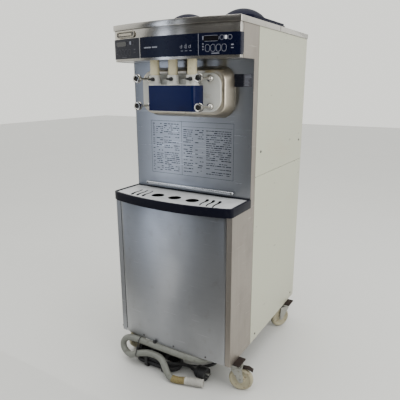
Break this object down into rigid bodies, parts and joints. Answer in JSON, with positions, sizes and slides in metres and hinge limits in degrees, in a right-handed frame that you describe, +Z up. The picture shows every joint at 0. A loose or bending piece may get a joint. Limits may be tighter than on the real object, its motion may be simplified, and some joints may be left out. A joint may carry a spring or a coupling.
{
  "type": "soft serve machine",
  "caption": "Floor-standing twin-flavour soft serve freezer on swivel casters, with lidded hoppers, draw plungers over a spout block, and a drip tray.",
  "frame": {"origin": "on the floor under the middle of the machine's box, measured without the hose and the mains cable", "axes": "+Z up, -Y towards the person who serves, +X to that person's right"},
  "size_m": [0.6919, 0.7928, 1.5076],
  "materials": {
    "brushed_steel": "vertical brushed, worn",
    "galvanised_steel": "galvanised",
    "frame_steel": "satin",
    "ivory_enamel": "satin enamel",
    "navy_film": "printed film, satin gloss",
    "hopper_steel": "fine satin",
    "lid_plastic": "glossy",
    "cylinder_steel": "fine satin",
    "white_plastic": "satin gloss",
    "cream_plastic": "satin gloss",
    "blue_plastic": "satin gloss",
    "knob_chrome": "polished, worn",
    "tray_plastic": "satin",
    "plate_enamel": "white enamel",
    "pulley_aluminium": "machined",
    "motor_enamel": "dark enamel",
    "belt_rubber": "matte",
    "condenser_aluminium": "finned",
    "black_plastic": "matte",
    "fork_steel": "zinc plated, worn",
    "wheel_nylon": "satin nylon",
    "hose_grey": "satin vinyl",
    "cable_black": "matte vinyl"
  },
  "bodies": {
    "cabinet": {"base_pan": "galvanised_steel", "beater_motor": "motor_enamel", "chassis_frame": "frame_steel", "compressor": "motor_enamel", "condenser": "condenser_aluminium", "control_band": "navy_film", "control_box": "black_plastic", "dispensing_door": "white_plastic", "door_collar": "cylinder_steel", "drain_hose": "hose_grey", "drive_belt": "belt_rubber", "freezing_cylinder_left": "cylinder_steel", "freezing_cylinder_right": "cylinder_steel", "head_fascia": "brushed_steel", "head_floor": "brushed_steel", "hopper_left": "hopper_steel", "hopper_right": "hopper_steel", "lower_front_panel": "brushed_steel", "lower_side_panel_left": "ivory_enamel", "lower_side_panel_right": "ivory_enamel", "power_cord": "cable_black", "power_cord_hank": "cable_black", "power_cord_tail": "cable_black", "power_plug": "cable_black", "rear_panel": "brushed_steel", "side_trim_left": "brushed_steel", "side_trim_right": "brushed_steel", "splash_gutter": "brushed_steel", "splash_panel": "brushed_steel", "top_cover": "brushed_steel", "upper_side_panel_left": "ivory_enamel", "upper_side_panel_right": "ivory_enamel"},
    "swivel_front_left": {"caster_fork_front_left": "fork_steel"},
    "wheel_front_left": {"caster_wheel_front_left": "wheel_nylon"},
    "swivel_front_right": {"caster_fork_front_right": "fork_steel"},
    "wheel_front_right": {"caster_wheel_front_right": "wheel_nylon"},
    "swivel_rear_left": {"caster_fork_rear_left": "fork_steel"},
    "wheel_rear_left": {"caster_wheel_rear_left": "wheel_nylon"},
    "swivel_rear_right": {"caster_fork_rear_right": "fork_steel"},
    "wheel_rear_right": {"caster_wheel_rear_right": "wheel_nylon"},
    "pedal_left": {"brake_pedal_left": "black_plastic"},
    "pedal_right": {"brake_pedal_right": "black_plastic"},
    "plunger_left": {"draw_plunger_left": "cream_plastic"},
    "plunger_centre": {"draw_plunger_centre": "cream_plastic"},
    "plunger_right": {"draw_plunger_right": "cream_plastic"},
    "knob_upper_left": {"door_knob_upper_left": "knob_chrome"},
    "knob_upper_right": {"door_knob_upper_right": "knob_chrome"},
    "knob_lower_left": {"door_knob_lower_left": "knob_chrome"},
    "knob_lower_right": {"door_knob_lower_right": "knob_chrome"},
    "lid_left": {"hopper_lid_left": "lid_plastic"},
    "lid_right": {"hopper_lid_right": "lid_plastic"},
    "cover": {"spout_cover": "blue_plastic"},
    "tray": {"drip_tray": "tray_plastic"},
    "plate": {"drip_plate": "plate_enamel"},
    "beater_left": {"beater_left": "white_plastic", "beater_pulley_left": "pulley_aluminium"},
    "beater_right": {"beater_right": "white_plastic", "beater_pulley_right": "pulley_aluminium"},
    "motor_shaft": {"motor_pulley": "pulley_aluminium"},
    "fan": {"condenser_fan": "black_plastic"}
  },
  "joints": [
    {"name": "swivel_front_left_turn", "type": "hinge", "parent": "cabinet", "child": "swivel_front_left", "pos_m": [-0.268, -0.282, 0.115], "axis": [0, 0, 1], "range_deg": [-60, 175]},
    {"name": "wheel_front_left_roll", "type": "hinge", "parent": "swivel_front_left", "child": "wheel_front_left", "pos_m": [-0.26218, -0.25461, 0.05], "axis": [-0.9781, 0.2079, 0], "continuous": true},
    {"name": "swivel_front_right_turn", "type": "hinge", "parent": "cabinet", "child": "swivel_front_right", "pos_m": [0.268, -0.282, 0.115], "axis": [0, 0, 1], "continuous": true},
    {"name": "wheel_front_right_roll", "type": "hinge", "parent": "swivel_front_right", "child": "wheel_front_right", "pos_m": [0.29492, -0.27428, 0.05], "axis": [-0.2756, 0.9613, 0], "continuous": true},
    {"name": "swivel_rear_left_turn", "type": "hinge", "parent": "cabinet", "child": "swivel_rear_left", "pos_m": [-0.268, 0.292, 0.115], "axis": [0, 0, 1], "continuous": true},
    {"name": "wheel_rear_left_roll", "type": "hinge", "parent": "swivel_rear_left", "child": "wheel_rear_left", "pos_m": [-0.29557, 0.29686, 0.05], "axis": [-0.1736, -0.9848, 0], "continuous": true},
    {"name": "swivel_rear_right_turn", "type": "hinge", "parent": "cabinet", "child": "swivel_rear_right", "pos_m": [0.268, 0.292, 0.115], "axis": [0, 0, 1], "continuous": true},
    {"name": "wheel_rear_right_roll", "type": "hinge", "parent": "swivel_rear_right", "child": "wheel_rear_right", "pos_m": [0.25234, 0.26879, 0.05], "axis": [0.829, -0.5592, 0], "continuous": true},
    {"name": "pedal_left_press", "type": "hinge", "parent": "swivel_front_left", "child": "pedal_left", "pos_m": [-0.26072, -0.24776, 0.1055], "axis": [-0.9781, 0.2079, 0], "range_deg": [0, 12]},
    {"name": "pedal_right_press", "type": "hinge", "parent": "swivel_front_right", "child": "pedal_right", "pos_m": [0.30164, -0.27235, 0.1055], "axis": [-0.2756, 0.9613, 0], "range_deg": [0, 12]},
    {"name": "plunger_left_lift", "type": "slide", "parent": "cabinet", "child": "plunger_left", "axis": [0, 0, 1], "range_m": [0, 0.03]},
    {"name": "plunger_centre_lift", "type": "slide", "parent": "cabinet", "child": "plunger_centre", "axis": [0, 0, 1], "range_m": [0, 0.03]},
    {"name": "plunger_right_lift", "type": "slide", "parent": "cabinet", "child": "plunger_right", "axis": [0, 0, 1], "range_m": [0, 0.03]},
    {"name": "knob_upper_left_turn", "type": "hinge", "parent": "cabinet", "child": "knob_upper_left", "pos_m": [-0.136, -0.3, 1.238], "axis": [0, -1, 0], "continuous": true},
    {"name": "knob_upper_right_turn", "type": "hinge", "parent": "cabinet", "child": "knob_upper_right", "pos_m": [0.136, -0.3, 1.238], "axis": [0, -1, 0], "continuous": true},
    {"name": "knob_lower_left_turn", "type": "hinge", "parent": "cabinet", "child": "knob_lower_left", "pos_m": [-0.136, -0.3, 1.138], "axis": [0, -1, 0], "continuous": true},
    {"name": "knob_lower_right_turn", "type": "hinge", "parent": "cabinet", "child": "knob_lower_right", "pos_m": [0.136, -0.3, 1.138], "axis": [0, -1, 0], "continuous": true},
    {"name": "lid_left_lift", "type": "slide", "parent": "cabinet", "child": "lid_left", "axis": [0, 0, 1], "range_m": [0, 0.12]},
    {"name": "lid_right_lift", "type": "slide", "parent": "cabinet", "child": "lid_right", "axis": [0, 0, 1], "range_m": [0, 0.12]},
    {"name": "cover_off", "type": "slide", "parent": "cabinet", "child": "cover", "axis": [0, -1, 0], "range_m": [0, 0.08]},
    {"name": "tray_out", "type": "slide", "parent": "cabinet", "child": "tray", "axis": [0, -1, 0], "range_m": [0, 0.1]},
    {"name": "plate_lift", "type": "slide", "parent": "tray", "child": "plate", "axis": [0, 0, 1], "range_m": [0, 0.014]},
    {"name": "beater_left_turn", "type": "hinge", "parent": "cabinet", "child": "beater_left", "pos_m": [-0.083, 0, 1.188], "axis": [0, 1, 0], "continuous": true},
    {"name": "beater_right_turn", "type": "hinge", "parent": "cabinet", "child": "beater_right", "pos_m": [0.083, 0, 1.188], "axis": [0, 1, 0], "continuous": true},
    {"name": "motor_shaft_turn", "type": "hinge", "parent": "cabinet", "child": "motor_shaft", "pos_m": [0, 0.165, 0.978], "axis": [0, 1, 0], "continuous": true},
    {"name": "fan_turn", "type": "hinge", "parent": "cabinet", "child": "fan", "pos_m": [0, 0.328, 0.282], "axis": [0, 1, 0], "continuous": true}
  ],
  "couplings": [
    {"joint": "beater_right_turn", "follows": "beater_left_turn", "ratio": 1},
    {"joint": "motor_shaft_turn", "follows": "beater_left_turn", "ratio": 1.9643}
  ]
}
